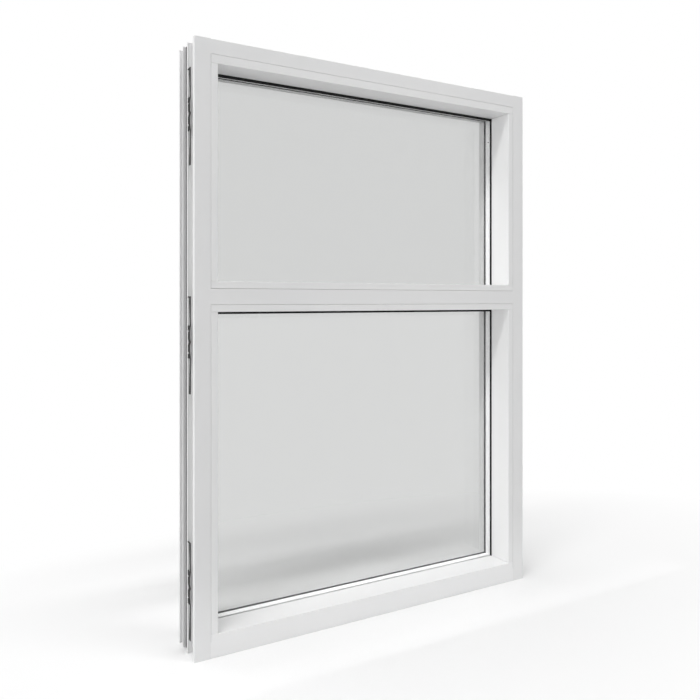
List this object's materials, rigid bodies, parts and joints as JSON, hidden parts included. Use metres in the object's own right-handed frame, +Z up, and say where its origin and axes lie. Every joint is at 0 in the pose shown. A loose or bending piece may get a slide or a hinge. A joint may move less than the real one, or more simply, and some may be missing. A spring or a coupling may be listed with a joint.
{
  "type": "fixed picture window",
  "caption": "Fixed aluminium picture window with a small upper light over a large lower light, double glazed, with deep snap-in beads and strap anchors on the jambs.",
  "frame": {"origin": "middle of the underside of the frame, halfway through its depth", "axes": "+X along the width to the right as seen from the front, +Y from the front face to the back, +Z up"},
  "size_m": [1, 0.136, 1.425],
  "materials": {
    "white_frame": "satin powder coat",
    "white_beads": "satin powder coat",
    "insulating_bar": "glass-filled nylon",
    "gasket": "matt",
    "glass": "clear float glass",
    "spacer": "mill finish",
    "setting_block": "matt",
    "anchor": "black coated steel"
  },
  "bodies": {
    "root": {"left_jamb_front": "white_frame", "left_jamb_rear": "white_frame", "right_jamb_front": "white_frame", "right_jamb_rear": "white_frame", "head_front": "white_frame", "head_rear": "white_frame", "sill_front": "white_frame", "sill_rear": "white_frame", "transom_front": "white_frame", "transom_rear": "white_frame", "upper_bead_top": "white_beads", "upper_bead_bottom": "white_beads", "upper_bead_left": "white_beads", "upper_bead_right": "white_beads", "lower_bead_top": "white_beads", "lower_bead_bottom": "white_beads", "lower_bead_left": "white_beads", "lower_bead_right": "white_beads", "left_jamb_insulating_bar": "insulating_bar", "right_jamb_insulating_bar": "insulating_bar", "head_insulating_bar": "insulating_bar", "sill_insulating_bar": "insulating_bar", "transom_insulating_bar": "insulating_bar", "upper_front_gasket": "gasket", "upper_rear_gasket": "gasket", "lower_front_gasket": "gasket", "lower_rear_gasket": "gasket", "upper_front_pane": "glass", "upper_rear_pane": "glass", "lower_front_pane": "glass", "lower_rear_pane": "glass", "upper_spacer": "spacer", "lower_spacer": "spacer", "upper_setting_blocks": "setting_block", "lower_setting_blocks": "setting_block", "left_lower_anchor": "anchor", "left_middle_anchor": "anchor", "left_upper_anchor": "anchor", "right_lower_anchor": "anchor", "right_middle_anchor": "anchor", "right_upper_anchor": "anchor"}
  },
  "joints": []
}
